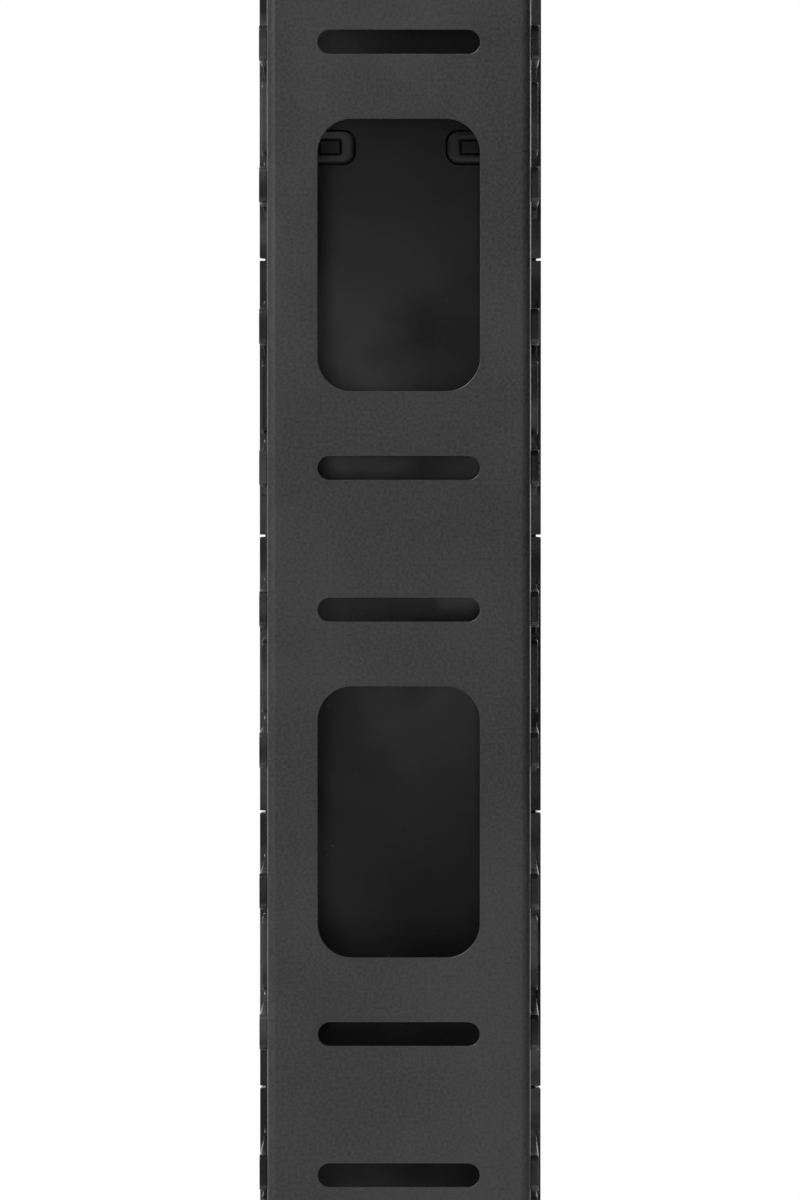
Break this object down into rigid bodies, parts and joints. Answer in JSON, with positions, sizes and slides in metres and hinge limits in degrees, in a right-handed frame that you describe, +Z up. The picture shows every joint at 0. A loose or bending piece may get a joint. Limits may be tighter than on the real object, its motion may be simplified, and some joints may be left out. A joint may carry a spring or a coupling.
{
  "type": "vertical cable manager",
  "caption": "Vertical rack cable manager: folded steel channel with windows and slots, moulded cable fingers on both sides and a clip-fitted front cover that hinges open.",
  "frame": {"origin": "middle of the back channel's mounting face, half way up and half way across", "axes": "+Z up along the channel, +Y out of the mounting face towards the rack, -Y towards the front cover, X across; left is -X as seen from the front"},
  "size_m": [0.0904, 0.0762, 0.889],
  "materials": {
    "powder_coated_steel": "fine-textured black powder coat",
    "finger_nylon": "satin moulded black nylon",
    "rivet_black": "black lacquered steel",
    "cover_plastic": "smooth black extruded plastic",
    "clip_plastic": "satin moulded black plastic"
  },
  "bodies": {
    "channel": {"back_channel_1": "powder_coated_steel", "back_channel_2": "powder_coated_steel", "back_channel_3": "powder_coated_steel", "back_channel_4": "powder_coated_steel", "back_channel_5": "powder_coated_steel", "finger_module_left_01": "finger_nylon", "finger_module_left_02": "finger_nylon", "finger_module_left_03": "finger_nylon", "finger_module_left_04": "finger_nylon", "finger_module_left_05": "finger_nylon", "finger_module_left_06": "finger_nylon", "finger_module_left_07": "finger_nylon", "finger_module_left_08": "finger_nylon", "finger_module_left_09": "finger_nylon", "finger_module_left_10": "finger_nylon", "finger_module_right_01": "finger_nylon", "finger_module_right_02": "finger_nylon", "finger_module_right_03": "finger_nylon", "finger_module_right_04": "finger_nylon", "finger_module_right_05": "finger_nylon", "finger_module_right_06": "finger_nylon", "finger_module_right_07": "finger_nylon", "finger_module_right_08": "finger_nylon", "finger_module_right_09": "finger_nylon", "finger_module_right_10": "finger_nylon", "finger_rivets_left": "rivet_black", "finger_rivets_right": "rivet_black"},
    "cover": {"front_cover": "cover_plastic", "cover_clip_left_1": "clip_plastic", "cover_clip_left_2": "clip_plastic", "cover_clip_left_3": "clip_plastic", "cover_clip_left_4": "clip_plastic", "cover_clip_right_1": "clip_plastic", "cover_clip_right_2": "clip_plastic", "cover_clip_right_3": "clip_plastic", "cover_clip_right_4": "clip_plastic"}
  },
  "joints": [
    {"name": "cover_hinge", "type": "hinge", "parent": "channel", "child": "cover", "pos_m": [-0.04155, -0.0669, 0], "axis": [0, 0, -1], "range_deg": [0, 110]}
  ]
}
